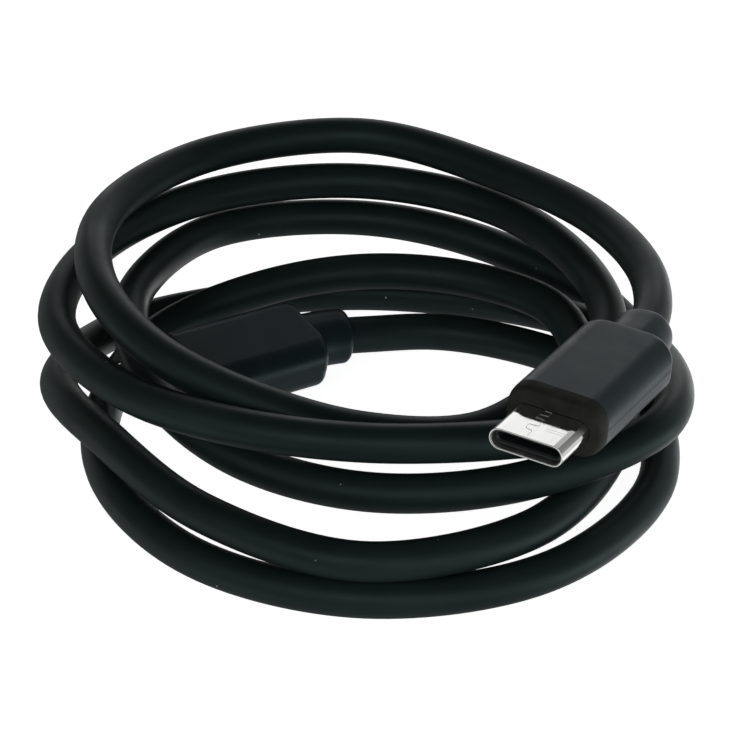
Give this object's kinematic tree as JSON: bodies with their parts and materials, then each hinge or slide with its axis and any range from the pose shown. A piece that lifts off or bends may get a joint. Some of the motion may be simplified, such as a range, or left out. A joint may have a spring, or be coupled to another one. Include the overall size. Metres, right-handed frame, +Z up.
{
  "type": "usb-c cable",
  "caption": "Black round charging and data cable with a USB-C plug at each end, wound in a loose coil; steel plug shells, moulded grips and short strain reliefs.",
  "frame": {"origin": "on the floor, under the middle of the coil's bounding box", "axes": "+Z up; the front plug points towards -Y and a little to -X; +X is right as seen from the front"},
  "size_m": [0.071, 0.079, 0.0222],
  "materials": {
    "jacket": "smooth black soft PVC jacket with a satin sheen",
    "shell_steel": "bright nickel-plated steel",
    "carrier_plastic": "black moulded plastic",
    "front_moulding": "brownish black moulding, slightly rougher than the grip",
    "overmold": "satin black moulded PVC"
  },
  "bodies": {
    "root": {"cable": "jacket", "front_plug_shell": "shell_steel", "front_plug_carrier": "carrier_plastic", "front_plug_front": "front_moulding", "front_plug_overmold": "overmold", "rear_plug_shell": "shell_steel", "rear_plug_carrier": "carrier_plastic", "rear_plug_front": "front_moulding", "rear_plug_overmold": "overmold"}
  },
  "joints": []
}
